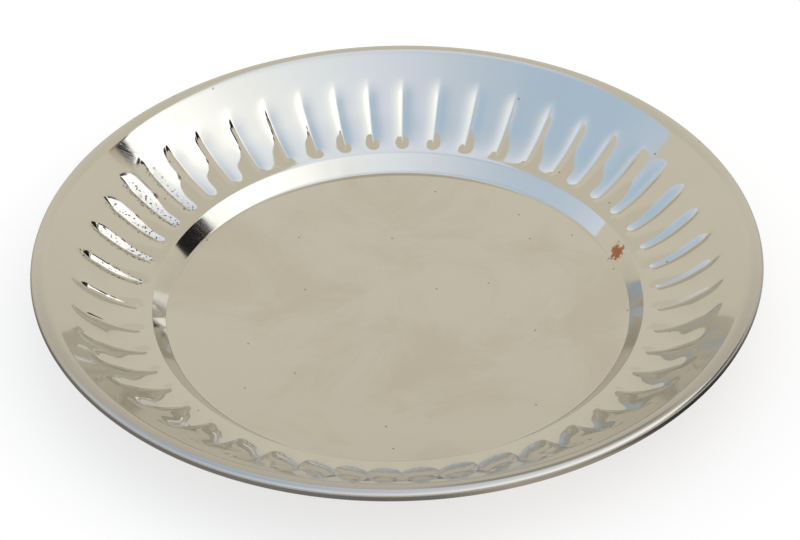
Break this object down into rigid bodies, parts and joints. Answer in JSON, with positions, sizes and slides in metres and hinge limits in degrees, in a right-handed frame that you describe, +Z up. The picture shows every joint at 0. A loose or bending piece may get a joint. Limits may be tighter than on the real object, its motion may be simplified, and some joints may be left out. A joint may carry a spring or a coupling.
{
  "type": "thali plate",
  "caption": "Round steel thali plate with a stepped flat floor, a low sloping wall with radial flutes, and a rolled rim.",
  "frame": {"origin": "on the plate's axis, at the underside of its flat floor, which is what it rests on", "axes": "+Z up along the plate's axis, out of the dish; +X right and +Y away from someone sitting before it, though the plate looks much the same from every side"},
  "size_m": [0.28, 0.28, 0.0316],
  "materials": {
    "polished_sheet": "polished stainless steel sheet with fine scratches and smudges from use",
    "drawn_wire": "dull drawn steel wire, closed inside the rolled rim"
  },
  "bodies": {
    "root": {"pressed_plate": "polished_sheet", "rim_wire": "drawn_wire"}
  },
  "joints": []
}
